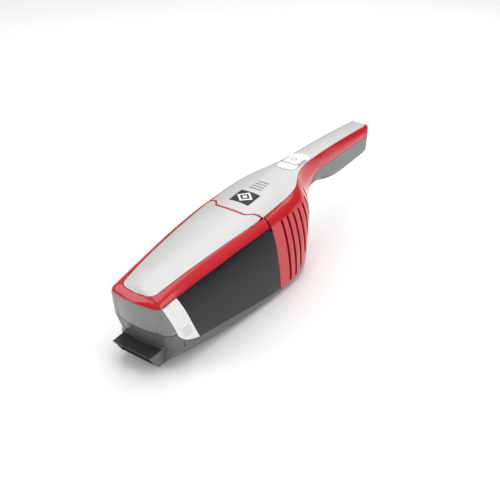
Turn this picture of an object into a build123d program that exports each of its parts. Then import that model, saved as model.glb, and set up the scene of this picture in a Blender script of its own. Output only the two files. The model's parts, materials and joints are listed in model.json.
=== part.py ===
"""Battery handheld vacuum: dust cup, motor body and handle as separate pieces.

Frame, millimetres: origin under the middle of the object on the surface it stands on,
nozzle towards -Y, handle towards +Y, +Z up, mirrored about X = 0.
"""
from build123d import *
from math import cos, pi, radians, sin
import os

# ---- driving dimensions ----
LENGTH = 430.0                 # nozzle lip to handle end
FRONT, REAR = -LENGTH / 2, LENGTH / 2
PANEL_T = 1.7                  # top panels
SKIN_T = 2.0                   # coloured outer skin
WALL_T = 3.4                   # skin and the wall behind it
GAP = 0.4                      # between the dust cup and the motor body
FOOT_H = 1.2                   # the underside stands this far above the surface

STEP, FINE_STEP = 11.0, 4.0    # spacing of the skin's sections along the body and round its tail
TAIL = (-4, 72)                # where the fine spacing is used

SEAM_Y, SEAM_Z = -59.3, 90.5   # parting plane of cup and body, at the panel edge
SEAM_LEAN = 0.186              # the plane runs back by this much per mm down
RIM = [(-240, 63.7), (-204.6, 68.7), (-165, 74.0), (-115, 79.5), (-60, 82.8), (-20, 84.6)]  # its lower edge (y, z)

PARTING_Z = 40.3               # joint of nose wall and lower shell
LINE = 0.6                     # open line round the release buttons
JOINT = 0.6                    # open line where two outer skins meet

LIP_LOW_Y = -203.6             # the nozzle's lower lip, behind the upper one
MOUTH = (20.2, 4.6, 21.8)      # nozzle at the lip: half-width, bottom, top
THROAT = (22.0, 6.6, 25.0)     # nozzle duct where the flap closes it
THROAT_Y = -177.0
NOZZLE_WALL = 2.0
PLATE_T = 1.3                  # dark plate let into the nozzle's top

SLOT_W, SLOT_PITCH, SLOT_FIRST = 3.4, 11.0, -24.1   # vent slots; position counted at height 0
SLOT_SPANS = [(9, 83), (9.5, 83), (14.5, 82.5), (28.5, 82), (44, 82.5), (58, 84.5), (74.5, 87)]

MOTOR_Z = 47.0                 # height of the motor's axis
FAN_Y, FAN_R = -37.5, 25.0      # front of the fan, its radius
CAN_R, SHAFT_R = 17.5, 1.6
CELL_R, CELL_L = 9.0, 60.0     # battery cells
BUTTON = (8.4, 37.4, 57.6)     # power button: half-width, front, rear
BUTTON_TRAVEL = 1.5
RELEASE_TRAVEL = 1.8

# Cross sections of the whole outer skin, front to rear.  Each row: station y, crown height,
# then half-width and height of panel edge, shoulder, side, and lower side, then the half-width
# of the keel corner and the height of the underside.
SECTIONS = [
    (-226, 70.0, (14.4, 68.9), (24.2, 65.8), (28.6, 45), (30.0, 28.0), 19.6, 5.6),
    (-200, 77.9, (17.6, 75.9), (26.4, 70.0), (31.0, 46), (32.4, 25.5), 22.4, 4.2),
    (-165, 85.0, (21.5, 81.6), (29.8, 74.2), (34.2, 48), (35.6, 17.0), 28.8, 2.0),
    (-115, 91.4, (26.2, 86.8), (34.3, 79.6), (38.9, 50), (40.4, 11.5), 38.4, FOOT_H),
    (-60, 96.6, (30.0, 90.5), (37.1, 82.8), (43.2, 50), (45.0, 11.0), 44.8, FOOT_H),
    (-20, 100.0, (30.1, 93.7), (36.8, 84.0), (45.2, 50), (46.8, 12.0), 46.4, FOOT_H),
    (5, 101.4, (27.0, 95.6), (34.6, 84.0), (43.2, 56), (44.9, 12.0), 44.2, FOOT_H),
    (17, 102.3, (22.2, 97.9), (30.8, 85.0), (38.6, 62), (40.2, 15.0), 39.2, 1.7),
    (27, 102.9, (17.7, 99.7), (23.0, 88.0), (32.3, 71), (34.6, 24.0), 32.8, 5.8),
    (36, 103.1, (14.9, 100.7), (18.6, 90.0), (25.0, 73), (27.4, 38.0), 25.7, 19.0),
    (45, 103.3, (13.3, 101.4), (16.5, 91.5), (19.8, 76), (20.6, 54.0), 19.3, 39.5),
    (53, 103.4, (12.4, 101.9), (15.4, 92.5), (17.1, 81), (17.2, 68.0), 16.3, 57.0),
    (62, 103.4, (11.9, 102.2), (14.9, 93.3), (15.7, 86), (15.5, 77.0), 14.9, 67.5),
    (78, 103.2, (11.2, 102.1), (14.4, 93.8), (15.1, 86), (14.8, 78.0), 14.1, 70.2),
    (104, 103.0, (11.0, 102.0), (14.1, 93.8), (15.0, 86), (14.7, 73.5), 14.0, 63.6),
    (140, 102.0, (10.6, 101.1), (13.9, 93.2), (15.0, 85), (14.7, 70.8), 14.0, 58.9),
    (175, 100.6, (10.3, 99.8), (13.7, 92.2), (15.0, 84), (14.6, 71.4), 13.9, 60.1),
    (222, 97.6, (10.0, 96.9), (13.3, 89.7), (14.6, 82), (14.3, 72.5), 13.6, 61.3),
]


def offset_points(pts, inset):
    """Move a chain of (x, z) points inwards by inset, keeping its corners."""
    normals = []
    for (ax, az), (bx, bz) in zip(pts, pts[1:]):
        size = ((bx - ax) ** 2 + (bz - az) ** 2) ** 0.5
        normals.append(((bz - az) / size, (ax - bx) / size))
    moved = []
    for i, (x, z) in enumerate(pts):
        (ax, az), (bx, bz) = normals[max(i - 1, 0)], normals[min(i, len(normals) - 1)]
        scale = inset / (1 + ax * bx + az * bz)
        moved.append((x + scale * (ax + bx), z + scale * (az + bz)))
    return moved


def through(p0, p1, p2, p3, t1=0.22, t2=0.62):
    """Inner control points of the cubic from p0 to p3 that passes p1 and p2."""
    a1, b1 = 3 * t1 * (1 - t1) ** 2, 3 * t1 * t1 * (1 - t1)
    a2, b2 = 3 * t2 * (1 - t2) ** 2, 3 * t2 * t2 * (1 - t2)
    det = a1 * b2 - a2 * b1
    first, second = [], []
    for c0, c1, c2, c3 in zip(p0, p1, p2, p3):
        r1 = c1 - (1 - t1) ** 3 * c0 - t1 ** 3 * c3
        r2 = c2 - (1 - t2) ** 3 * c0 - t2 ** 3 * c3
        first.append((r1 * b2 - r2 * b1) / det)
        second.append((a1 * r2 - a2 * r1) / det)
    return first, second


def section_wire(row, inset):
    y, crown, panel, shoulder, side, low, keel, base = row
    chain = [(0, crown), panel, shoulder, side, low, (keel, base), (keel - 8, base), (0, base)]
    top, edge, shoulder, side, low, corner, heel = offset_points(chain, inset)[:7]
    c1, c2 = through(edge, shoulder, side, low)
    c3 = [a + 0.7 * (b - a) for a, b in zip(low, corner)]
    c4 = [a + 0.7 * (b - a) for a, b in zip(heel, corner)]
    high = 2 * (crown - inset) - edge[1]
    outline = [[(-edge[0], edge[1]), (0, high), edge], [edge, c1, c2, low], [low, c3, c4, heel]]
    edges = [Edge.make_bezier(*[Vector(x, y, z) for x, z in pts]) for pts in outline]
    edges.append(Edge.make_line(Vector(heel[0], y, heel[1]), Vector(-heel[0], y, heel[1])))
    for pts in (outline[2], outline[1]):
        edges.append(Edge.make_bezier(*[Vector(-x, y, z) for x, z in reversed(pts)]))
    return Wire(edges)


def flat(row):
    return [value for item in row for value in (item if isinstance(item, tuple) else (item,))]


def slopes(ys, values):
    """Slope at each control station: level at a peak, else a harmonic mean, so nothing overshoots."""
    steps = [(b - a) / (yb - ya) for a, b, ya, yb in zip(values, values[1:], ys, ys[1:])]
    inner = [0 if a * b <= 0 else 2 * a * b / (a + b) for a, b in zip(steps, steps[1:])]
    return [steps[0]] + inner + [steps[-1]]


def stations():
    ys, y = [], SECTIONS[0][0]
    while y < SECTIONS[-1][0] - 1:
        ys.append(y)
        y += FINE_STEP if TAIL[0] <= y < TAIL[1] else STEP
    return ys + [SECTIONS[-1][0]]


def station_rows():
    """Closely spaced sections on a smooth curve through the control sections."""
    ys = [row[0] for row in SECTIONS]
    columns = list(zip(*[flat(row) for row in SECTIONS]))
    tangents = [slopes(ys, column) for column in columns]
    rows = []
    for y in stations():
        i = min(sum(y >= station for station in ys) - 1, len(ys) - 2)
        h = ys[i + 1] - ys[i]
        t = (y - ys[i]) / h
        v = [(1 + 2 * t) * (1 - t) ** 2 * c[i] + t * (1 - t) ** 2 * h * m[i]
             + t * t * (3 - 2 * t) * c[i + 1] + t * t * (t - 1) * h * m[i + 1]
             for c, m in zip(columns, tangents)]
        rows.append((y, v[1], (v[2], v[3]), (v[4], v[5]), (v[6], v[7]), (v[8], v[9]), v[10], v[11]))
    return rows


def hull(inset):
    return Solid.make_loft([section_wire(row, inset) for row in station_rows()], ruled=True)


def side_prism(pts, half=70.0):
    """Region drawn in side view, points (y, z), through the whole width."""
    face = Face(Wire.make_polygon([Vector(-half, y, z) for y, z in pts]))
    return Solid.extrude(face, Vector(2 * half, 0, 0))


def plan_prism(pts, low, high):
    """Region drawn from above, points (x, y), between two heights."""
    face = Face(Wire.make_polygon([Vector(x, y, low) for x, y in pts]))
    return Solid.extrude(face, Vector(0, 0, high - low))


def mirrored(pts):
    """Close an outline given down its +X side, front to rear."""
    return pts + [(-x, y) for x, y in reversed(pts) if x != 0]


def curve(pts, steps=10):
    """Points along a Bezier curve."""
    out = []
    for k in range(steps + 1):
        level, t = list(pts), k / steps
        while len(level) > 1:
            level = [tuple(a + t * (b - a) for a, b in zip(p, q)) for p, q in zip(level, level[1:])]
        out.append(level[0])
    return out


def box(low, high):
    size = [b - a for a, b in zip(low, high)]
    return Solid.make_box(*size, Plane(origin=low))


def rod(radius, start, end):
    """Cylinder between two points."""
    axis = Vector(*end) - Vector(*start)
    return Solid.make_cylinder(radius, axis.length, Plane(origin=start, z_dir=axis.normalized()))


def seam(z, shift=0.0):
    return SEAM_Y + (SEAM_Z - z) * SEAM_LEAN + shift


def seam_slab(front, rear, low=-10.0, high=130.0):
    """Everything between two planes parallel to the parting plane."""
    return side_prism([(seam(low, front), low), (seam(high, front), high),
                       (seam(high, rear), high), (seam(low, rear), low)])


# ---- nose and handle end ----
NOSE = [                       # height, front, bulge, half-width, corner, widening
    (-8, -206.0, 3.0, 32.8, 14, 0.08),
    (8, -201.0, 3.0, 32.8, 14, 0.08),
    (20, -199.2, 3.0, 32.8, 14, 0.08),
    (PARTING_Z, -206.9, 3.2, 32.6, 13, 0.09),
    (56, -209.7, 2.5, 29.9, 11, 0.14),
    (66.2, -211.3, 1.9, 27.5, 9, 0.17),
    (69.0, -210.9, 1.7, 26.7, 8.6, 0.19),
    (71.6, -209.3, 1.5, 25.5, 8, 0.22),
    (74.2, -206.6, 1.3, 23.8, 7, 0.26),
    (76.6, -203.4, 1.0, 21.9, 6, 0.28),
    (79.0, -200.2, 0.8, 20.2, 5, 0.28),
    (120, -200.2, 0.8, 20.2, 5, 0.28),
]
NOSE_END = -184.0


def nose_wire(row, inset):
    z, front, bulge, half, corner, widen = row
    front, half = front + inset, half - inset
    z = z - inset * 0.4 if z > PARTING_Z else z
    corner = max(corner - inset, 3)
    a, b, c = half - corner, front + bulge, front + bulge + corner
    wide = half + (NOSE_END + 10 - c) * widen

    def bezier(*pts):
        return Edge.make_bezier(*[Vector(x, y, z) for x, y in pts])
    return Wire([
        bezier((-a, b), (0, front - bulge), (a, b)), bezier((a, b), (half, b), (half, c)),
        bezier((half, c), (wide, NOSE_END + 10)), bezier((wide, NOSE_END + 10), (-wide, NOSE_END + 10)),
        bezier((-wide, NOSE_END + 10), (-half, c)), bezier((-half, c), (-half, b), (-a, b)),
    ])


def end_block(inset):
    """Rounded end of the handle, in side view and from above."""
    end = REAR - inset
    side = [(170, 40), (185, 40), (185, 56 + inset)]
    side += curve([(186, 57 + inset), (end - 4, 60 + inset), (end - 0.5, 84)])
    side += curve([(end, 88), (end, 97.5 - inset), (end - 9, 101.5 - inset)], 6) + [(170, 120)]
    plan = [(19, 170), (19, 198)] + curve([(15.4 - inset, 199), (15.0 - inset, end - 2), (8.6, end - 0.4), (0, end)])
    return side_prism(side) & plan_prism(mirrored(plan), 30, 125)


def hull(inset):
    """The whole outer shape, moved inwards by inset."""
    body = Solid.make_loft([section_wire(row, inset) for row in station_rows()], ruled=True)
    nose = Solid.make_loft([nose_wire(row, inset) for row in NOSE], ruled=True)
    waste = box((-70, -240, -20), (70, NOSE_END, 119)) - nose
    waste_end = box((-70, 190, 0), (70, 240, 119)) - end_block(inset)
    return body - waste - waste_end


# ---- side-view and plan regions ----
def rim_z(y):
    for (y0, z0), (y1, z1) in zip(RIM, RIM[1:]):
        if y <= y1:
            break
    return z0 + (y - y0) / (y1 - y0) * (z1 - z0)


def strip_outline(grow=0.0):
    """Release button seen from the side; grow moves its outline outwards."""
    g = grow
    foot = curve([(-192.1 - g, 38.3), (-187.6 - g, 25.6 - g), (-165.1 + g * 0.6, 20.6 - g)], 8)
    front_top, rear_top = -204.6 - g, -187.9 + g
    top = g * 0.88 - LINE
    return [(front_top, rim_z(front_top) + top)] + foot + [(rear_top, rim_z(rear_top) + top)]


def above_rim():
    return side_prism(RIM + [(-20, 140), (-240, 140)])


def window_prism():
    return side_prism([(-165.1, 20.6), (-187.9, rim_z(-187.9))] + RIM[2:] + [(-20, 6.6)])


def nose_wall_prism(lift=0.0):
    return side_prism([(-240, PARTING_Z + 5.5 + lift), (-192.1, PARTING_Z - 2.3 + lift), (-192.1, 38.3 + lift),
                       (-204.6, rim_z(-204.6)), (-240, rim_z(-240))])


TONGUE = [(0, -71.2), (8, -70.8), (14.5, -69.8), (17, -68.4), (19, -65.6), (21.5, -61.9), (25, -60.1)]


def tongue_prism(shift, low=78.0):
    """Front edge of the rear panel, which reaches over the dust cup; shift moves it along Y."""
    pts = [(x, y + shift) for x, y in TONGUE] + [(40, -60.0 + shift), (40, -40), (0, -40)]
    return plan_prism(mirrored(pts), low, 130)


def panel_width(y):
    """Half-width of the top panels at a section station."""
    rows = station_rows()
    for a, b in zip(rows, rows[1:]):
        if a[0] <= y <= b[0]:
            return a[2][0] + (b[2][0] - a[2][0]) * (y - a[0]) / (b[0] - a[0]) - 0.12
    return rows[-1][2][0]


def front_panel_prism(inset=0.0):
    ys = [row[0] for row in station_rows() if -198 < row[0] < -64]
    side = [(panel_width(y) - inset, y) for y in [-198.0] + ys + [-62.2 - inset]]
    front = [(0, -206.4 + inset)] + curve([(11, -205.4 + inset), (16.6 - inset, -205.0 + inset), side[0]], 6)
    back = [(25, -62.3 - inset)] + [(x, y - 2.2 - inset) for x, y in reversed(TONGUE[:-1])]
    return plan_prism(mirrored(front + side[1:] + back), 60, 130)


def rear_panel_prism(inset=0.0):
    ys = [row[0] for row in station_rows() if -56 < row[0] < 198]
    side = [(panel_width(y) - inset, y) for y in [-62.5] + ys + [199.0]]
    end = curve([(side[-1][0], 199), (10 - inset, 213.4 - inset), (0, 213.4 - inset)], 8)[1:]
    return plan_prism(mirrored([(0, -80), (side[0][0], -80)] + side + end), 88, 130)


def grip_prism(drop=0.0):
    """Everything below the line where the grip meets the red shells."""
    d = drop
    line = [(64.2 + d, 68)] + curve([(64.6 + d, 76 - d), (66 + d, 86.6 - d), (86, 86.6 - d)], 8)
    return side_prism(line + [(204, 86.4 - d), (230, 85.4 - d), (230, 30), (64.2 + d, 30)])


def base_prism(grow=0.0):
    return side_prism([(-70, -5), (-70, 5.0 + grow), (-6, 5.0 + grow), (16 + grow, 8.5 + grow), (16 + grow, -5)])


def button_plan(grow=0.0, depth=(86.0, 130.0)):
    half, front, rear = BUTTON
    half, front, rear = half + grow, front - grow, rear + grow
    corner = curve([(half - 2, front), (half, front), (half, front + 2)], 4)
    rear_corner = curve([(half, rear - 2), (half, rear), (half - 2, rear)], 4)
    return plan_prism(mirrored(corner + rear_corner), *depth)


def power_plan(grow=0.0, low=96.0):
    nose = curve([(0, 23.4 - grow), (8.6 + grow, 23.4 - grow), (10.2 + grow, 30)], 6)
    tail = curve([(11.2 + grow, 60), (10.8 + grow, 68 + grow), (0, 68 + grow)], 6)
    return plan_prism(mirrored(nose + tail), low, 130)


def badge_plan(low=80.0):
    return plan_prism([(-10.9, -57.5), (10.9, -57.5), (10.9, -35.8), (-10.9, -35.8)], low, 130)


def rib_plans():
    ribs = []
    for k in range(4):
        y = -27.9 + 5.0 * k
        half = 7.0 - 0.25 * k
        ribs.append(plan_prism([(-half, y - 0.55), (half, y - 0.55), (half, y + 0.55), (-half, y + 0.55)], 85, 130))
    return ribs


def duct(wall):
    """Nozzle duct from the mouth to the flap, its section shrunk by wall on every side."""
    def rectangle(y, size):
        half, low, high = size
        pts = [(-half + wall, low + wall), (half - wall, low + wall),
               (half - wall, high - wall), (-half + wall, high - wall)]
        return Wire.make_polygon([Vector(x, y, z) for x, z in pts])
    lip = tuple(a - (b - a) * 0.3 for a, b in zip(MOUTH, THROAT))
    return Solid.make_loft([rectangle(FRONT - 11.4, lip), rectangle(THROAT_Y + (5 if wall else 0), THROAT)],
                           ruled=True)


def mouth_cut():
    """Everything in front of the nozzle's slanted mouth."""
    return side_prism([(FRONT, MOUTH[2]), (LIP_LOW_Y, MOUTH[1]), (LIP_LOW_Y + 6, MOUTH[1] - 9), (-260, -5),
                       (-260, 60), (FRONT, 60)])


# ---- the pieces ----
PARTS = {}


def keep(name, shape):
    PARTS[name] = shape


H = {t: hull(t) for t in (-2.0, -0.8, -0.4, -0.2, 0.0, 0.6, 0.9, PANEL_T, SKIN_T, 2.7, WALL_T, 3.6, 4.8, 5.4, 5.8, 6.2)}
CUP = side_prism([(-260, -20), (-260, 130), (seam(130, -GAP / 2), 130), (seam(-20, -GAP / 2), -20)])
CUP = CUP - tongue_prism(-GAP)
BODY = side_prism([(260, -20), (260, 130), (seam(130, GAP / 2), 130), (seam(-20, GAP / 2), -20)])
SKIN = H[0.0] - H[SKIN_T]


def make_dust_cup():
    panel = front_panel_prism()
    keep("front_panel", (H[0.0] - H[PANEL_T]) & front_panel_prism(JOINT))
    rim = (SKIN & above_rim() & CUP) - panel
    keep("front_rim", rim)
    strip, line = side_prism(strip_outline()), side_prism(strip_outline(LINE))
    lower = (SKIN & CUP) - above_rim() - window_prism() - nose_wall_prism() - line
    keep("front_bumper", (SKIN & nose_wall_prism(JOINT)) - line)
    ends = [box((0, -240, 0), (70, -150, 120)), box((-70, -240, 0), (0, -150, 120))]
    grooves = [side_prism([(-178.4 - 0.43 * (z - 30) - 5, z), (-178.4 - 0.43 * (z - 30) + 5, z),
                           (-178.4 - 0.43 * (z - 30) + 5, z + 1.1), (-178.4 - 0.43 * (z - 30) - 5, z + 1.1)]) - H[0.9]
               for z in (30.0, 32.4, 34.8, 37.2, 39.6)]
    for name, end in zip(("right", "left"), ends):
        keep("release_button_" + name, (SKIN & strip & end) - grooves)
    tub = ((H[0.0] & window_prism() & CUP) + (H[SKIN_T] & CUP)) - H[WALL_T]
    pad = side_prism(strip_outline(2.0)) & H[2.7]
    tub = tub + (pad - H[6.2])
    tub = tub - (line - H[4.8]) - duct(0)
    keep("dust_container", tub)
    make_nozzle(lower)
    make_release_springs()
    seal = (H[3.6] - H[5.4]) & seam_slab(-5.0, -1.2)
    keep("cup_seal", seal)


def plate_region():
    pts = [(20.6, -240), (20.6, FRONT), (22.2, -199.2), (22.2, -198.6)]
    pts += curve([(20, -199.8), (10, -201.2), (0, -201.2)], 6)
    pts = [pts[0], pts[1]] + curve([(21.9, -198.3), (12, -200.8), (0, -200.8)], 6)
    return plan_prism(mirrored(pts), MOUTH[2] - PLATE_T, MOUTH[2] + 0.01)


def make_nozzle(lower):
    tube = duct(0) - mouth_cut()
    half, low, high = MOUTH
    top = box((-30, -240, high), (30, -150, 60))
    tube = tube - box((-40, -240, high), (40, -199.5, 60))
    pin_y, pin_z = THROAT_Y + 0.6, THROAT[2] + 2.3
    ears = [box((x, THROAT_Y - 3, pin_z - 3.4), (x + 2, THROAT_Y + 4.4, pin_z + 2)) for x in (-22.4, 20.4)]
    lower = lower + tube + ears[0] + ears[1]
    lower = lower - duct(NOZZLE_WALL) - rod(1.05, (-30, pin_y, pin_z), (30, pin_y, pin_z))
    plate = (plate_region() & duct(0)) - mouth_cut()
    keep("nozzle_plate", plate)
    keep("lower_shell", lower - plate)
    keep("flap_pin", rod(1.0, (-22.2, pin_y, pin_z), (22.2, pin_y, pin_z)))
    flap = box((-20, THROAT_Y + 0.4, THROAT[1] + 1.0), (20, THROAT_Y + 1.8, pin_z - 0.5))
    flap = flap + rod(1.9, (-20, pin_y, pin_z), (20, pin_y, pin_z))
    keep("inlet_flap", flap - rod(1.06, (-21, pin_y, pin_z), (21, pin_y, pin_z)))


def make_release_springs():
    """Leaf spring behind each release button: a shallow bow between the button and its pocket."""
    y = -187.0
    for name, sign in (("right", 1), ("left", -1)):
        bow = [(-0.8, -8), (3.3, 0), (0.8, 8)]
        inner = [(sign * (27.25 + a), y + b) for a, b in curve(bow, 8)]
        outer = [(px + sign * 0.5, py) for px, py in reversed(inner)]
        keep("release_spring_" + name, plan_prism(inner + outer, 49.0, 51.6))


def star(radius, depth, folds, y):
    pts = []
    for k in range(2 * folds):
        r = radius if k % 2 == 0 else radius - depth
        a = pi * k / folds
        pts.append(Vector(r * cos(a), y, MOTOR_Z + 2 + r * sin(a)))
    return Wire.make_polygon(pts)


def make_filter():
    flange = H[5.8] & seam_slab(-6.0, -1.2)
    rear = seam(MOTOR_Z, -3.0)
    axis_z = MOTOR_Z + 2
    tube = rod(17, (0, rear - 58, axis_z), (0, rear, axis_z))
    bore = rod(14.5, (0, rear - 56, axis_z), (0, rear + 12, axis_z))
    frame = (flange + tube) - bore
    for k in range(6):
        a = radians(60 * k)
        rays = box((-4, rear - 52, 0), (4, rear - 10, 40)).moved(Location((0, 0, 0), (0, 60 * k, 0)))
        frame = frame - rays.moved(Location((0, 0, axis_z)))
    keep("filter_frame", frame)
    pleats = Solid.make_loft([star(25, 5, 28, rear - 57), star(28, 5, 28, rear - 6)], ruled=True)
    pleats = pleats - seam_slab(-6.1, 40)
    keep("filter_pleats", pleats - rod(17.1, (0, rear - 80, axis_z), (0, rear, axis_z)))
    cage = Solid.make_cone(28.0, 31.0, 58, Plane(origin=(0, rear - 60, axis_z), z_dir=(0, 1, 0)))
    hollow = Solid.make_cone(26.6, 29.6, 58, Plane(origin=(0, rear - 58.6, axis_z), z_dir=(0, 1, 0)))
    cage = cage - hollow
    for k in range(8):
        window = box((-8, rear - 55, 0), (8, rear - 12, 45)).moved(Location((0, 0, 0), (0, 45 * k, 0)))
        cage = cage - window.moved(Location((0, 0, axis_z)))
    keep("filter_cage", cage - seam_slab(-6.0, 40))


def make_body():
    panel = rear_panel_prism()
    outer = H[0.0] - panel - grip_prism() - base_prism()
    shell = ((outer + H[SKIN_T]) & BODY) - H[WALL_T]
    for k, (low, high) in enumerate(SLOT_SPANS):
        y0, mid = SLOT_FIRST + SLOT_PITCH * k, (low + high) / 2
        plane = Plane(origin=(-70, y0 - SEAM_LEAN * mid, mid), x_dir=(0, -SEAM_LEAN, 1), z_dir=(1, 0, 0))
        slot = extrude(plane * SlotOverall(high - low, SLOT_W), 140)
        shell = shell - slot
    shell = shell - power_plan(0.3, 97.5) - button_plan(0.6, (90, 120))
    socket_z = 30.0
    bosses = screw_sites()
    for x, y in bosses:
        shell = shell + (rod(3.0, (x, y, 3.3), (x, y, 12)) & H[2.7])
    for x, y in bosses:
        shell = shell - rod(1.36, (x, y, -1), (x, y, 11.5))
    shell = shell - rod(5.05, (0, 20, socket_z), (0, 60, socket_z))
    keep("shell_right", shell & box((0.05, -100, -5), (70, 230, 130)))
    keep("shell_left", shell & box((-70, -100, -5), (-0.05, 230, 130)))
    socket = rod(5.0, (0, 27, socket_z), (0, 41, socket_z))
    socket = socket & H[0.0]
    keep("charge_socket", socket - rod(2.75, (0, 31, socket_z), (0, 60, socket_z)))
    top = ((H[0.0] - H[PANEL_T]) & (BODY + tongue_prism(0))) & rear_panel_prism(JOINT)
    top = top - power_plan(0.15) - (badge_plan() - H[0.9])
    for rib in rib_plans():
        top = top - (rib - H[0.6])
    keep("rear_panel", top)
    keep("badge", (badge_plan() & H[-0.2]) - H[0.9])
    keep("panel_ribs", Compound([(rib & H[-0.4]) - H[0.6] for rib in rib_plans()]))
    grip = (SKIN & grip_prism(JOINT)) - box((-70, 0, 0), (70, 40, 130))
    for k in range(6):
        y = 92 + 4.2 * k
        grip = grip - (side_prism([(y, 50), (y + 2.1, 50), (y + 1.6, 72 - k), (y, 72 - k)]) - H[0.9])
    keep("handle_grip", grip)
    base = (SKIN & BODY & base_prism(-0.1)) - panel
    for x, y in bosses:
        base = base - rod(2.8, (x, y, -1), (x, y, 2.6)) - rod(1.36, (x, y, 0), (x, y, 6))
    keep("base_cover", base)
    screws = [rod(2.6, (x, y, 1.5), (x, y, 2.6)) + rod(1.3, (x, y, 2.6), (x, y, 11)) for x, y in bosses]
    keep("base_screws", Compound(screws))
    feet = [box((x - 7, y - 4, 0), (x + 7, y + 4, FOOT_H)) for x in (-24, 24) for y in (-36, -2)]
    keep("base_feet", Compound(feet))
    front_feet = [box((x - 7, y - 4, 0), (x + 7, y + 4, FOOT_H)) for x in (-20, 20) for y in (-112,)]
    keep("cup_feet", Compound(front_feet))


def screw_sites():
    return [(x, y) for x in (-36.8, 36.8) for y in (-30, -10)]


def make_power_switch():
    hole = button_plan(0.35)
    bezel = ((power_plan() & H[-0.8]) - hole) - box((-30, 0, 0), (30, 100, 97.6))
    lights = []
    for sign in (1, -1):
        x = sign * (BUTTON[0] + 1.35)
        light = box((min(x - 0.5, x + 0.5), 39, 98.5), (max(x - 0.5, x + 0.5), 57, 120))
        bezel = bezel - light
        lights.append(light & H[-0.8])
    keep("power_plate", bezel)
    keep("charge_light", Compound(lights))
    cap = (button_plan() & H[-2.0]) - box((-30, 0, 0), (30, 100, 99.5))
    mid = (BUTTON[1] + BUTTON[2]) / 2
    stem = rod(2.2, (0, mid, 93.2), (0, mid, 100.5))
    keep("power_button", cap + stem)
    keep("power_switch", box((-4.2, mid - 4.2, 87.6), (4.2, mid + 4.2, 90.6)) + rod(1.8, (0, mid, 90), (0, mid, 91.6)))
    keep("circuit_board", box((-8.5, 30, 86), (8.5, 66, 87.6)))
    path = Wire([Edge.make_helix(2.0, 8.0, 3.4, center=(0, mid, 91.05))])
    ring = Face(Wire([Edge.make_circle(0.35, Plane(path @ 0, z_dir=path % 0))]))
    keep("button_spring", Solid.sweep(ring, path))


def blade(angle):
    one = box((5.5, FAN_Y + 1.4, -0.6), (FAN_R - 1.5, FAN_Y + 11.6, 0.6))
    return one.moved(Location((0, 0, 0), (0, angle, 0))).moved(Location((0, 0, MOTOR_Z)))


def make_motor():
    def on_axis(radius, front, rear):
        return rod(radius, (0, FAN_Y + front, MOTOR_Z), (0, FAN_Y + rear, MOTOR_Z))
    keep("motor_shaft", on_axis(SHAFT_R, -1, 69))
    fan = on_axis(6, 0, 11.8) + on_axis(FAN_R, 11.4, 13) + (on_axis(FAN_R, 0, 1.4) - on_axis(13, -1, 2))
    for k in range(11):
        fan = fan + blade(360 * k / 11)
    keep("impeller", fan - on_axis(SHAFT_R, -5, 25))
    housing = on_axis(FAN_R + 4, -2.6, 21) - on_axis(FAN_R + 2, -1.2, 19)
    keep("fan_housing", housing - on_axis(14.5, -5, 0) - on_axis(CAN_R, 15, 25))
    can = on_axis(CAN_R, 19, 59) + on_axis(6, 59, 63)
    keep("motor_can", can - on_axis(SHAFT_R + 0.05, -5, 75))
    keep("motor_ring", on_axis(CAN_R + 5, 39, 49) - on_axis(CAN_R, 30, 60))
    wall = (H[3.6] & seam_slab(3.0, 5.2)) - rod(14.5, (0, -80, MOTOR_Z + 2), (0, 0, MOTOR_Z + 2))
    keep("bulkhead", wall)
    cells = [rod(CELL_R, (x, -37, 14.4), (x, 6, 14.4)) for x in (-23.5, 23.5)]
    cells += [rod(CELL_R, (0, y, 82.5), (0, y + CELL_L, 82.5)) for y in (82, 143)]
    keep("battery_cells", Compound(cells))
    foam = (H[3.6] - H[5.4]) & side_prism([(-32, 12), (-40, 80), (2, 80), (14, 24), (0, 12)])
    keep("exhaust_foam_right", foam & box((10, -100, 0), (70, 100, 120)))
    keep("exhaust_foam_left", foam & box((-70, -100, 0), (-10, 100, 120)))


make_dust_cup()
make_filter()
make_body()
make_power_switch()
make_motor()

os.makedirs("parts", exist_ok=True)
for name, shape in PARTS.items():
    export_step(shape, f"parts/{name}.step")
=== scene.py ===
import bpy
import json
import math
from mathutils import Matrix, Vector


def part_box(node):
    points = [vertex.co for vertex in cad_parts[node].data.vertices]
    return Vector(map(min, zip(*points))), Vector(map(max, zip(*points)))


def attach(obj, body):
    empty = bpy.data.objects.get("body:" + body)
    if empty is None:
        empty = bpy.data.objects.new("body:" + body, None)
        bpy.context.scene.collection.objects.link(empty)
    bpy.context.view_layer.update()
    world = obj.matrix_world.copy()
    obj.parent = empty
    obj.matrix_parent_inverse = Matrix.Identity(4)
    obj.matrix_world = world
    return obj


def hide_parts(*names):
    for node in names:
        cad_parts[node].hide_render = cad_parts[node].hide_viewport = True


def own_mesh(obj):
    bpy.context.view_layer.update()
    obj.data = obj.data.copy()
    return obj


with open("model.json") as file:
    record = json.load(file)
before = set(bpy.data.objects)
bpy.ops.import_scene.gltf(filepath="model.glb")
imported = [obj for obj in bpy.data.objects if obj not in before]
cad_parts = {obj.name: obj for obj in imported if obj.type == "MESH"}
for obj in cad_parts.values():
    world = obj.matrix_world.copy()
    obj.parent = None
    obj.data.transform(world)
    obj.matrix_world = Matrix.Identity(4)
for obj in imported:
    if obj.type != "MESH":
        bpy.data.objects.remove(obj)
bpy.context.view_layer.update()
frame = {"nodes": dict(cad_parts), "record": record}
bpy.ops.object.select_all(action="DESELECT")
print("frame loaded,", len(frame["nodes"]), "nodes")


# camera, floor and lights
viewPlan = {
    "place": (0.31516, -0.54922, 0.39303),
    "back": (0.44669, -0.73330, 0.51258),       # from the vacuum towards the camera
    "up": (-0.31161, 0.40953, 0.85743),
    "lens": 49.68,
}


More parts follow.
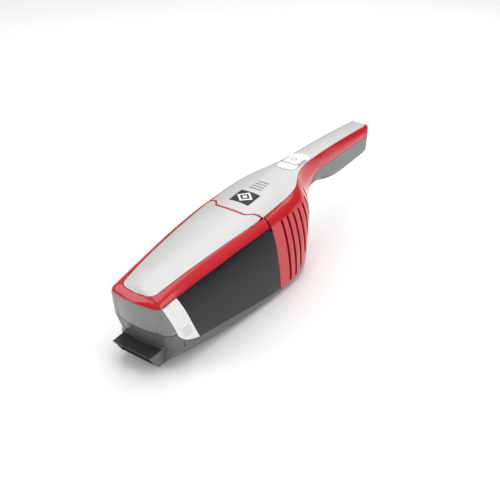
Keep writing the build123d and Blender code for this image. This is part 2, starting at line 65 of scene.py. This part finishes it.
def makeCamera(plan):
    bpy.ops.object.camera_add()
    cam = bpy.context.object
    cam.name = "camera"
    back, up = Vector(plan["back"]), Vector(plan["up"])
    turn = Matrix((up.cross(back), up, back)).transposed()
    cam.matrix_world = Matrix.Translation(plan["place"]) @ turn.to_4x4()
    cam.data.lens, cam.data.sensor_width = plan["lens"], 36
    cam.data.clip_start, cam.data.clip_end = 0.02, 50
    bpy.context.scene.camera = cam


lightPlan = {
    "horizon": 0.06, "zenith": 0.62, "blend": 0.6,   # sky light, darker near the horizon
    "backdrop": 0.66,                                # what is seen behind the floor
    # name: place, aimed at, width, height, watts
    "top": ((-0.15, 0.15, 1.3), (0, 0, 0.05), 1.1, 1.6, 10.0),
    "front": ((-0.95, -1.05, 0.70), (0, -0.10, 0.05), 0.9, 0.9, 7.0),
    "side": ((1.35, 0.05, 0.55), (0, 0.0, 0.05), 0.7, 1.2, 6.5),
    "tail": ((0.35, 1.3, 0.8), (0, 0.1, 0.05), 1.0, 0.6, 3.0),
    "far": ((-1.1, 2.6, 1.7), (-1.1, 2.6, 0.0), 2.6, 2.2, 16.0),   # only lifts the floor behind
}


def makeLights(plan):
    world = bpy.data.worlds.new("studio")
    world.use_nodes = True
    sky = world.node_tree
    sky.nodes["Background"].inputs["Color"].default_value = (1, 1, 1, 1)
    place, split, ramp, pale, path, mix = (sky.nodes.new("ShaderNode" + kind) for kind in (
        "TexCoord", "SeparateXYZ", "MapRange", "Background", "LightPath", "MixShader"))
    for key, value in zip(("From Max", "To Min", "To Max"), (plan["blend"], plan["horizon"], plan["zenith"])):
        ramp.inputs[key].default_value = value
    sky.links.new(place.outputs["Generated"], split.inputs[0])
    sky.links.new(split.outputs["Z"], ramp.inputs["Value"])
    pale.inputs["Strength"].default_value = plan["backdrop"]
    pale.inputs["Color"].default_value = (1, 1, 1, 1)
    sky.links.new(ramp.outputs[0], sky.nodes["Background"].inputs["Strength"])
    for socket, node in zip((0, 1, 2), (path, sky.nodes["Background"], pale)):
        sky.links.new(node.outputs["Is Camera Ray" if node is path else 0], mix.inputs[socket])
    sky.links.new(mix.outputs[0], sky.nodes["World Output"].inputs["Surface"])
    bpy.context.scene.world = world
    for name in ("top", "front", "side", "tail", "far"):
        place, aim, wide, high, watts = plan[name]
        bpy.ops.object.light_add(type="AREA", location=place)
        lamp = bpy.context.object
        lamp.name = "light_" + name
        lamp.rotation_euler = (Vector(place) - Vector(aim)).to_track_quat("Z", "Y").to_euler()
        lamp.data.shape, lamp.data.size, lamp.data.size_y = "RECTANGLE", wide, high
        lamp.data.energy = watts
    bpy.context.scene.view_settings.view_transform = "Standard"


# finishes
class Val:  # one output socket; arithmetic on it adds Math nodes
    def __init__(self, finish, socket):
        self.finish, self.socket = finish, socket

    def maths(self, operation, first, second):
        return self.finish.node("Math", {"operation": operation}, {0: first, 1: second})

    def __add__(self, other):
        return self.maths("ADD", self, other)

    def __radd__(self, other):
        return self.maths("ADD", other, self)

    def __sub__(self, other):
        return self.maths("SUBTRACT", self, other)

    def __rsub__(self, other):
        return self.maths("SUBTRACT", other, self)

    def __mul__(self, other):
        return self.maths("MULTIPLY", self, other)

    def __rmul__(self, other):
        return self.maths("MULTIPLY", other, self)


class Finish:  # a material built round its Principled shader
    def __init__(self, name, **fixed):
        self.material = bpy.data.materials.new(name)
        self.material.use_nodes = True
        self.tree = self.material.node_tree
        self.shader = self.tree.nodes["Principled BSDF"]
        for key, value in fixed.items():
            socket = self.shader.inputs[key.replace("_", " ")]
            socket.default_value = (*value, 1) if isinstance(value, tuple) else value
        self.place = self.node("TexCoord", out="Object")

    def node(self, kind, settings=None, sockets=None, out=0):
        made = self.tree.nodes.new("ShaderNode" + kind)
        for key, value in (settings or {}).items():
            setattr(made, key, value)
        for key, value in (sockets or {}).items():
            if isinstance(value, Val):
                self.tree.links.new(value.socket, made.inputs[key])
            else:
                made.inputs[key].default_value = value
        return Val(self, made.outputs[out])

    def axes(self):
        parts = self.node("SeparateXYZ", None, {0: self.place})
        return [Val(self, socket) for socket in parts.socket.node.outputs]

    def stretched(self, x, y, z):
        return self.node("Mapping", {"vector_type": "POINT"}, {"Vector": self.place, "Scale": (x, y, z)})

    def noise(self, scale, detail=3, vector=None, rough=0.5):
        sockets = {"Vector": vector or self.place, "Scale": scale, "Detail": detail, "Roughness": rough}
        return self.node("TexNoise", None, sockets)

    def between(self, amount, first, second):   # a blend of two plain colours
        return self.node("Mix", {"data_type": "RGBA"}, {0: amount, 6: (*first, 1), 7: (*second, 1)}, out=2)

    def feed(self, name, value):
        self.tree.links.new(value.socket, self.shader.inputs[name])

    def relief(self, height, strength, distance=0.0002):
        sockets = {"Height": height, "Strength": strength, "Distance": distance}
        self.feed("Normal", self.node("Bump", None, sockets))


def mouldedPlastic(name, colour, shade, rough, coat=0.0, peel=0.05, grainSize=900, level=0.5):
    made = Finish(name, IOR=1.5, Coat_Weight=coat, Coat_Roughness=0.04, Specular_IOR_Level=level)
    cloud = made.noise(22, 2)
    grain = made.noise(grainSize, 3)
    made.feed("Base Color", made.between(cloud, colour, shade))
    made.feed("Roughness", rough - 0.03 + cloud * 0.03 + grain * 0.04)
    made.relief(grain, peel)
    return made.material


windowPlan = {"low": 0.005, "high": 0.066, "lean": 0.10,   # painted shade: the smoked window is painted paler low down and darker high up, standing in for how its curved face is lit
              "pale": (0.050, 0.050, 0.049), "deep": (0.0065, 0.0075, 0.0095)}


def smokedWindow(plan):
    made = Finish("smoked_window", IOR=1.45, Specular_IOR_Level=0.16)
    x, y, z = made.axes()
    # painted shade: this height ramp darkens the window towards its top, as the light falls on it; the haze is
    # random tone
    height = made.node("MapRange", None, {"Value": z + y * plan["lean"], "From Min": plan["low"],
                                          "From Max": plan["high"]})
    haze = made.noise(14, 2)
    made.feed("Base Color", made.between(height + haze * 0.12, plan["pale"], plan["deep"]))
    made.feed("Roughness", 0.25 + haze * 0.06)
    made.relief(made.noise(500, 2), 0.02)
    return made.material


def brushedPanel():
    made = Finish("brushed_panel", IOR=1.5, Metallic=0.12, Coat_Weight=0.12, Coat_Roughness=0.15)
    fine = made.noise(1, 4, made.stretched(30, 2600, 60), 0.65)
    broad = made.noise(1, 2, made.stretched(12, 420, 20), 0.5)
    streak = fine * 0.65 + broad * 0.35
    made.feed("Base Color", made.between(streak, (0.475, 0.475, 0.470), (0.625, 0.625, 0.618)))
    made.feed("Roughness", 0.24 + streak * 0.2)
    made.relief(streak, 0.10, 0.0001)
    return made.material


def softGrip():
    made = Finish("soft_grip", IOR=1.48)
    cells = made.node("TexVoronoi", {"feature": "F1"}, {"Vector": made.place, "Scale": 1500}, out="Distance")
    cloud = made.noise(60, 3)
    made.feed("Base Color", made.between(cloud, (0.17, 0.178, 0.172), (0.215, 0.222, 0.215)))
    made.feed("Roughness", 0.46 + cloud * 0.1)
    made.relief(cells, 0.35, 0.00012)
    return made.material


def pleatPaper():
    made = Finish("pleat_paper", IOR=1.4)
    fibre = made.noise(2200, 4)
    dust = made.noise(45, 3)
    made.feed("Base Color", made.between(dust, (0.80, 0.78, 0.71), (0.62, 0.60, 0.54)))
    made.feed("Roughness", 0.82 + fibre * 0.12)
    made.relief(fibre, 0.5, 0.0001)
    return made.material


def openFoam():
    made = Finish("open_foam", IOR=1.4)
    holes = made.node("TexVoronoi", {"feature": "F1"}, {"Vector": made.place, "Scale": 700}, out="Distance")
    # painted shade: the foam is painted darker where its relief sinks, standing in for shade in its pores
    made.feed("Base Color", made.between(holes, (0.030, 0.030, 0.032), (0.006, 0.006, 0.006)))
    made.feed("Roughness", 0.85 + holes * 0.1)
    made.relief(1 - holes, 1.0, 0.0006)
    return made.material


def drawnMetal(name, colour, rough, along=(900, 40, 900)):
    made = Finish(name, Metallic=1.0)
    line = made.noise(1, 4, made.stretched(*along), 0.6)
    cloud = made.noise(90, 2)
    made.feed("Base Color", made.between(line, tuple(0.86 * c for c in colour), colour))
    made.feed("Roughness", rough + line * 0.14 + cloud * 0.06)
    made.relief(line, 0.08, 0.0001)
    return made.material


def printedBoard():
    made = Finish("printed_board", IOR=1.5, Coat_Weight=0.4, Coat_Roughness=0.15)
    tracks = {"Vector": made.stretched(420, 260, 1), "Scale": 1.0, "Mortar Size": 0.06, "Mortar Smooth": 0.1}
    lanes = made.node("TexBrick", {"offset": 0.5}, tracks, out="Fac")
    made.feed("Base Color", made.between(lanes, (0.010, 0.085, 0.035), (0.03, 0.20, 0.08)))
    made.feed("Roughness", 0.32 + lanes * 0.12)
    made.relief(lanes, 0.3, 0.0001)
    return made.material


def cellSleeve():
    made = Finish("cell_sleeve", IOR=1.5, Coat_Weight=0.3, Coat_Roughness=0.1)
    crease = made.noise(130, 3)
    # partly painted shade: the sleeve's blue clouds at random, and it is painted darker where its creases
    # sink, standing in for shade in them
    made.feed("Base Color", made.between(crease, (0.02, 0.09, 0.26), (0.03, 0.13, 0.34)))
    made.feed("Roughness", 0.25 + crease * 0.15)
    made.relief(crease, 0.15, 0.0004)
    return made.material


def paleFloor():
    made = Finish("pale_floor", Roughness=0.9, Specular_IOR_Level=0.2)
    made.feed("Base Color", made.between(made.noise(3, 2), (0.93, 0.93, 0.93), (0.955, 0.955, 0.955)))
    return made.material


plastics = {   # two tones that cloud into each other, then how rough it is and how it shines
    "red_gloss": dict(colour=(0.50, 0.0070, 0.016), shade=(0.55, 0.0090, 0.019), rough=0.10, coat=0.14,
                      peel=0.015, grainSize=380, level=0.46),
    "white_plastic": dict(colour=(0.77, 0.77, 0.765), shade=(0.81, 0.81, 0.805), rough=0.28, coat=0.1),
    # painted light: the front bumper and the lower shell are one grey plastic; light_grey, the bumper's, is
    # painted paler than grey_plastic, standing in for the light on the bumper's face
    "grey_plastic": dict(colour=(0.105, 0.106, 0.105), shade=(0.125, 0.126, 0.125), rough=0.34, peel=0.10),
    "light_grey": dict(colour=(0.180, 0.183, 0.178), shade=(0.205, 0.208, 0.203), rough=0.22, coat=0.1,
                       level=0.6),
    "charcoal": dict(colour=(0.026, 0.027, 0.028), shade=(0.036, 0.037, 0.039), rough=0.30, peel=0.08),
    "rubber": dict(colour=(0.014, 0.014, 0.014), shade=(0.022, 0.022, 0.022), rough=0.62, peel=0.25),
    "dark_badge": dict(colour=(0.010, 0.011, 0.013), shade=(0.014, 0.015, 0.018), rough=0.34, peel=0.03,
                       level=0.22),
    "lamp": dict(colour=(0.030, 0.030, 0.034), shade=(0.045, 0.045, 0.05), rough=0.12, coat=0.6, peel=0.02),
    "inlay_silver": dict(colour=(0.72, 0.72, 0.71), shade=(0.78, 0.78, 0.77), rough=0.22, coat=0.3, peel=0.02),
    "symbol_grey": dict(colour=(0.060, 0.085, 0.080), shade=(0.075, 0.10, 0.095), rough=0.35, peel=0.02),
    # painted shade: the ribs are embossed in the silver panel; this mid grey, darker than the panel, stands in
    # for the shade along them
    "rib_shade_grey": dict(colour=(0.20, 0.20, 0.205), shade=(0.27, 0.27, 0.275), rough=0.30, peel=0.02),
    # painted shadow: colour of the dark strips beside the power button, which stand in for shade in its gaps
    "gap_shadow_dark": dict(colour=(0.020, 0.022, 0.022), shade=(0.03, 0.032, 0.032), rough=0.5, peel=0.02),
}
finishes = {name: mouldedPlastic(name, **plan) for name, plan in plastics.items()}
finishes.update({
    "pale_silver": brushedPanel(),
    "smoke_window": smokedWindow(windowPlan),
    "grip_grey": softGrip(),
    "filter_paper": pleatPaper(),
    "foam": openFoam(),
    "steel": drawnMetal("steel", (0.56, 0.56, 0.57), 0.24),
    "motor_metal": drawnMetal("motor_metal", (0.62, 0.62, 0.63), 0.30, (60, 1400, 60)),
    "net_steel": drawnMetal("net_steel", (0.50, 0.50, 0.51), 0.30),
    "circuit_green": printedBoard(),
    "cell_wrap": cellSleeve(),
})
print("finishes made")


# helpers for working on a mesh
def only(obj):
    if bpy.context.object and bpy.context.object.mode != "OBJECT":
        bpy.ops.object.mode_set(mode="OBJECT")
    bpy.ops.object.select_all(action="DESELECT")
    obj.select_set(True)
    bpy.context.view_layer.objects.active = obj


def addModifier(obj, kind, **settings):
    only(obj)
    mod = obj.modifiers.new(kind.lower(), kind)
    for key, value in settings.items():
        setattr(mod, key, value)
    bpy.ops.object.modifier_apply(modifier=mod.name)


def settle(obj, name, body, slotName, material=None):
    only(obj)
    bpy.ops.object.transform_apply(location=True, rotation=True, scale=True)
    obj.name = obj.data.name = name
    obj.data.materials.clear()
    obj.data.materials.append(material or finishes[slotName])
    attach(obj, body)
    return obj


bodyOf = {node: body for body, members in frame["record"]["behaviour"]["bodies"].items() for node in members}
slotOf = {part["node"]: part["material_slot"] for part in frame["record"]["subparts"]}


def mergedCopy(node, weld=0.000004):
    data = frame["nodes"][node].data.copy()
    obj = bpy.data.objects.new(node + "_skin", data)
    bpy.context.collection.objects.link(obj)
    only(obj)
    bpy.ops.object.mode_set(mode="EDIT")
    bpy.ops.mesh.select_all(action="SELECT")
    bpy.ops.mesh.remove_doubles(threshold=weld)
    bpy.ops.mesh.dissolve_degenerate(threshold=weld)
    bpy.ops.mesh.dissolve_limited(angle_limit=math.radians(0.5))
    bpy.ops.object.mode_set(mode="OBJECT")
    return obj


def smoothSkin(node, edge=0.0, crease=32):
    obj = mergedCopy(node, 0.00008 if edge else 0.000004)
    if edge:   # broken edges: a fine line shows where two pieces meet, and its rims catch the light
        addModifier(obj, "BEVEL", width=edge, segments=2, limit_method="ANGLE", angle_limit=math.radians(38),
                    use_clamp_overlap=False, profile=0.6)
    only(obj)
    bpy.ops.object.shade_smooth_by_angle(angle=math.radians(crease))
    addModifier(obj, "WEIGHTED_NORMAL", mode="FACE_AREA_WITH_ANGLE", weight=50, keep_sharp=True)
    # painted shade: the ribs are painted mid grey, darker than the silver panel, standing in for the shade
    # along them
    material = finishes["rib_shade_grey"] if node == "panel_ribs" else None
    settle(obj, node + "_skin", bodyOf[node], slotOf[node], material)
    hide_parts(node)
    return obj


makeCamera(viewPlan)
makeLights(lightPlan)

floorSize = 60   # so wide that its edge never shows
bpy.ops.mesh.primitive_plane_add(size=floorSize, location=(0, 0, 0))
floor = bpy.context.object
floor.name = "floor"
floor.data.materials.append(paleFloor())
print("studio ready")

skinEdges = {  # how far the edges of the pieces that show are broken, in metres
    "shell_left": 0.00025, "shell_right": 0.00025, "rear_panel": 0.0003, "front_panel": 0.0003,
    "front_rim": 0.00025, "dust_container": 0.0002, "front_bumper": 0.0003, "lower_shell": 0.0003,
    "nozzle_plate": 0.0004, "release_button_left": 0.0002, "release_button_right": 0.0002,
    "handle_grip": 0.0003, "base_cover": 0.0003, "power_plate": 0.0002, "power_button": 0.0005,
    "badge": 0.0003, "panel_ribs": 0.00025, "base_feet": 0.0002, "cup_feet": 0.0002,
}
for node, width in skinEdges.items():
    smoothSkin(node, width)
for node in frame["nodes"]:
    if node not in skinEdges and node != "base_screws":   # the screws are made new below
        smoothSkin(node)


def squeeze(node):   # a spring shortens as its button is pressed; here its skin only gets a mesh of its own
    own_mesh(bpy.data.objects[node + "_skin"])


springPlan = {   # node: its button's joint, the way it shortens, which corner of its box stays, how far
    "button_spring": ("power_press", (0, 0, 1), 0, 0.0015),
    "release_spring_right": ("release_right_press", (1, 0, 0), 0, 0.0018),
    "release_spring_left": ("release_left_press", (1, 0, 0), 1, 0.0018),
}
for node, (joint, axis, end, travel) in springPlan.items():
    squeeze(node)
print("skins smoothed")


# marks laid on a curved surface
dropHeight = 0.004   # a flat mark starts this far above its surface


def pressOnto(obj, target, lift, thick):
    addModifier(obj, "SHRINKWRAP", target=bpy.data.objects[target], wrap_method="PROJECT", use_project_z=True,
                use_negative_direction=True, use_positive_direction=False, offset=0)
    only(obj)
    bpy.ops.object.mode_set(mode="EDIT")
    bpy.ops.mesh.select_all(action="DESELECT")
    bpy.ops.object.mode_set(mode="OBJECT")
    top = max(corner.co.z for corner in bpy.data.objects[target].data.vertices)
    for corner in obj.data.vertices:   # a corner past the rim found nothing below it
        corner.select = corner.co.z > top + 0.001
    bpy.ops.object.mode_set(mode="EDIT")
    bpy.ops.mesh.select_mode(type="VERT")
    bpy.ops.mesh.delete(type="VERT")
    bpy.ops.mesh.select_all(action="SELECT")
    bpy.ops.mesh.normals_make_consistent(inside=False)
    bpy.ops.transform.translate(value=(0, 0, lift))
    bpy.ops.mesh.extrude_region_move(TRANSFORM_OT_translate={"value": (0, 0, thick)})
    bpy.ops.mesh.select_all(action="SELECT")
    bpy.ops.mesh.normals_make_consistent(inside=False)
    bpy.ops.object.mode_set(mode="OBJECT")


def openRing(name, radius, width, place, gap):
    bpy.ops.mesh.primitive_circle_add(vertices=48, radius=radius, location=place)
    obj = bpy.context.object
    obj.name = name
    only(obj)
    bpy.ops.object.mode_set(mode="EDIT")
    bpy.ops.mesh.select_all(action="SELECT")
    bpy.ops.mesh.extrude_region_move()
    share = (radius - width) / radius
    bpy.ops.transform.resize(value=(share, share, 1))
    bpy.ops.mesh.select_all(action="DESELECT")
    bpy.ops.object.mode_set(mode="OBJECT")
    for face in obj.data.polygons:   # the ring is open at its front
        face.select = abs(math.atan2(face.center.x, -face.center.y)) < gap
    bpy.ops.object.mode_set(mode="EDIT")
    bpy.ops.mesh.select_mode(type="FACE")
    bpy.ops.mesh.delete(type="FACE")
    bpy.ops.object.mode_set(mode="OBJECT")
    return obj


def flatPatch(name, wide, long, place, turn=0.0, cuts=8):
    bpy.ops.mesh.primitive_plane_add(size=1, location=place)
    obj = bpy.context.object
    obj.name = name
    only(obj)
    bpy.ops.object.mode_set(mode="EDIT")
    bpy.ops.mesh.select_all(action="SELECT")
    bpy.ops.transform.resize(value=(wide, long, 1))
    bpy.ops.mesh.subdivide(number_cuts=cuts)
    bpy.ops.object.mode_set(mode="OBJECT")
    obj.rotation_euler.z = turn
    only(obj)
    bpy.ops.object.transform_apply(location=True, rotation=True, scale=True)
    return obj


def joined(parts, name):
    only(parts[0])
    for part in parts[1:]:
        part.select_set(True)
    bpy.ops.object.join()
    parts[0].name = parts[0].data.name = name
    return parts[0]


badgePlan = {"centre": (0.0, -0.04665), "side": 0.0125, "line": 0.0021, "core": 0.0042,
             "lift": -0.0002, "thick": 0.0003}


def makeBadgeMark(plan):   # a plain square turned on its corner, with a square inside it
    (x, y), z = plan["centre"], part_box("badge")[1].z + dropHeight
    turn, reach, line = math.radians(45), (plan["side"] - plan["line"]) / 2, plan["line"]
    bars = [flatPatch("core", plan["core"], plan["core"], (x, y, z), turn, 8)]
    for k in range(4):
        angle = turn + k * math.pi / 2
        place = (x + reach * math.cos(angle), y + reach * math.sin(angle), z)
        shift = line / 2   # each bar stops where the next one starts
        place = (place[0] - shift * math.sin(angle), place[1] + shift * math.cos(angle), z)
        bars.append(flatPatch("bar", line, plan["side"] - line, place, angle, 12))
    mark = joined(bars, "badge_mark")
    pressOnto(mark, "badge_skin", plan["lift"], plan["thick"])
    settle(mark, "badge_mark", "motor_body", "dark_badge", finishes["inlay_silver"])


symbolPlan = {"y": 0.0472, "radius": 0.0031, "line": 0.0008, "openHalf": 34, "bar": 1.05, "barShift": 0.75,
              "lift": -0.00027, "thick": 0.0003}


def makePowerSymbol(plan):
    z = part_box("power_button")[1].z + dropHeight
    radius, line = plan["radius"], plan["line"]
    ring = openRing("ring", radius, line, (0, plan["y"], z), math.radians(plan["openHalf"]))
    bar = flatPatch("bar", line, radius * plan["bar"], (0, plan["y"] - radius * plan["barShift"], z))
    only(ring)
    bpy.ops.object.transform_apply(location=True, rotation=True, scale=True)
    symbol = joined([ring, bar], "power_symbol")
    pressOnto(symbol, "power_button_skin", plan["lift"], plan["thick"])
    settle(symbol, "power_symbol", "power_key", "white_plastic", finishes["symbol_grey"])


gapShadowPlan = {"x": 0.00965, "y": 0.0455, "long": 0.0130, "wide": 0.0007, "lift": -0.0002, "thick": 0.00025}


def makeGapShadows(plan):   # painted shadow: dark strips beside the power button, standing in for the shade in the gaps beside the raised button
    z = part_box("power_plate")[1].z + dropHeight
    gapShadows = [flatPatch("gap_shadow", plan["wide"], plan["long"], (side * plan["x"], plan["y"], z), 0, 10)
             for side in (-1, 1)]
    gapShadows = joined(gapShadows, "plate_gap_shadows")
    pressOnto(gapShadows, "power_plate_skin", plan["lift"], plan["thick"])
    settle(gapShadows, "plate_gap_shadows", "motor_body", "white_plastic", finishes["gap_shadow_dark"])


screwPlan = {"sites": [(x, y) for x in (-0.0368, 0.0368) for y in (-0.030, -0.010)],
             "head": 0.0026, "top": 0.0026, "low": 0.0015, "shank": 0.0013, "shankLong": 0.0084,
             "slotWide": 0.0007, "slotLong": 0.0030, "slotDeep": 0.0006, "edge": 0.0003}


def makeScrews(plan):
    top, low = plan["top"], plan["low"]
    bpy.ops.mesh.primitive_cylinder_add(vertices=40, radius=plan["head"], depth=top - low,
                                        location=(0, 0, (top + low) / 2))
    screw = bpy.context.object
    addModifier(screw, "BEVEL", width=plan["edge"], segments=3, limit_method="ANGLE")
    for turn in (0, 90):   # cross recess cut up into the head
        bpy.ops.mesh.primitive_cube_add(size=1, location=(0, 0, low))
        cutter = bpy.context.object
        cutter.scale = (plan["slotLong"], plan["slotWide"], plan["slotDeep"] * 2)
        cutter.rotation_euler.z = math.radians(turn)
        only(cutter)
        bpy.ops.object.transform_apply(location=True, rotation=True, scale=True)
        addModifier(screw, "BOOLEAN", object=cutter, operation="DIFFERENCE", solver="EXACT")
        bpy.data.objects.remove(cutter)
    bpy.ops.mesh.primitive_cylinder_add(vertices=32, radius=plan["shank"], depth=plan["shankLong"],
                                        location=(0, 0, top + plan["shankLong"] / 2))
    shank = bpy.context.object
    for piece in (screw, shank):
        only(piece)
        bpy.ops.object.transform_apply(location=True, rotation=True, scale=True)
    screw = joined([screw, shank], "screw")
    copies = []
    for x, y in plan["sites"]:
        copy = screw.copy()
        copy.data = screw.data.copy()
        bpy.context.collection.objects.link(copy)
        copy.location = (x, y, 0)
        only(copy)
        bpy.ops.object.transform_apply(location=True, rotation=True, scale=True)
        copies.append(copy)
    bpy.data.objects.remove(screw)
    screws = joined(copies, "screws")
    only(screws)
    bpy.ops.object.shade_smooth_by_angle(angle=math.radians(35))
    settle(screws, "base_screws_detail", "motor_body", "steel")
    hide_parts("base_screws")


netPlan = {"sides": 112, "rows": 40, "wire": 0.0003, "start": 0.006, "long": 0.040,
           "radii": (0.02735, 0.03035), "flare": 0.72}


def makeNet(plan):
    low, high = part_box("filter_cage")
    middle, start, long = (low + high) / 2, low.y + plan["start"], plan["long"]
    bpy.ops.mesh.primitive_cylinder_add(vertices=plan["sides"], radius=plan["radii"][0], depth=long,
                                        end_fill_type="NOTHING", location=(0, start + long / 2, middle.z),
                                        rotation=(math.radians(90), 0, 0))
    net = bpy.context.object
    only(net)
    bpy.ops.object.transform_apply(location=True, rotation=True, scale=True)
    bpy.ops.object.mode_set(mode="EDIT")
    for row in range(1, plan["rows"]):
        bpy.ops.mesh.select_all(action="SELECT")
        bpy.ops.mesh.bisect(plane_co=(0, start + long * row / plan["rows"], 0), plane_no=(0, 1, 0))
    bpy.ops.object.mode_set(mode="OBJECT")
    for corner in net.data.vertices:   # widen towards the flange, as the cage does
        share = (corner.co.y - start) / long
        grow = 1 + share * (plan["radii"][1] / plan["radii"][0] - 1) * plan["flare"]
        corner.co.x *= grow
        corner.co.z = middle.z + (corner.co.z - middle.z) * grow
    addModifier(net, "WIREFRAME", thickness=plan["wire"], use_even_offset=False)
    settle(net, "filter_net", "filter", "steel", finishes["net_steel"])


partitionPlan = {   # each sheet runs from front to rear and from low to high
    "thick": 0.0012, "edge": 0.0003,
    "over": (-0.013, 0.060, 0.066, 0.084), "behind": (0.0265, 0.060, 0.030, 0.066),
    "cutThrough": (0.034, 0.030), "cutTo": (0.060, 0.076),   # what lies below this line is cut off
}


def makePartition(plan):   # plate inside the shell that stops a look straight through the vents
    sheets = []
    for front, rear, low, high in (plan["over"], plan["behind"]):
        bpy.ops.mesh.primitive_cube_add(size=1, location=(0, (front + rear) / 2, (low + high) / 2))
        sheet = bpy.context.object
        only(sheet)
        bpy.ops.object.mode_set(mode="EDIT")
        bpy.ops.mesh.select_all(action="SELECT")
        bpy.ops.transform.resize(value=(plan["thick"], rear - front, high - low))
        (y0, z0), (y1, z1) = plan["cutThrough"], plan["cutTo"]
        bpy.ops.mesh.bisect(plane_co=(0, y0, z0), plane_no=(0, z1 - z0, y0 - y1),
                            use_fill=True, clear_outer=True)
        bpy.ops.object.mode_set(mode="OBJECT")
        addModifier(sheet, "BEVEL", width=plan["edge"], segments=2, limit_method="ANGLE")
        only(sheet)
        bpy.ops.object.transform_apply(location=True, rotation=True, scale=True)
        sheets.append(sheet)
    settle(joined(sheets, "vent_partition"), "vent_partition", "motor_body", "charcoal")


makeBadgeMark(badgePlan)
makePartition(partitionPlan)
makePowerSymbol(symbolPlan)
makeGapShadows(gapShadowPlan)
makeScrews(screwPlan)
makeNet(netPlan)
print("details made")
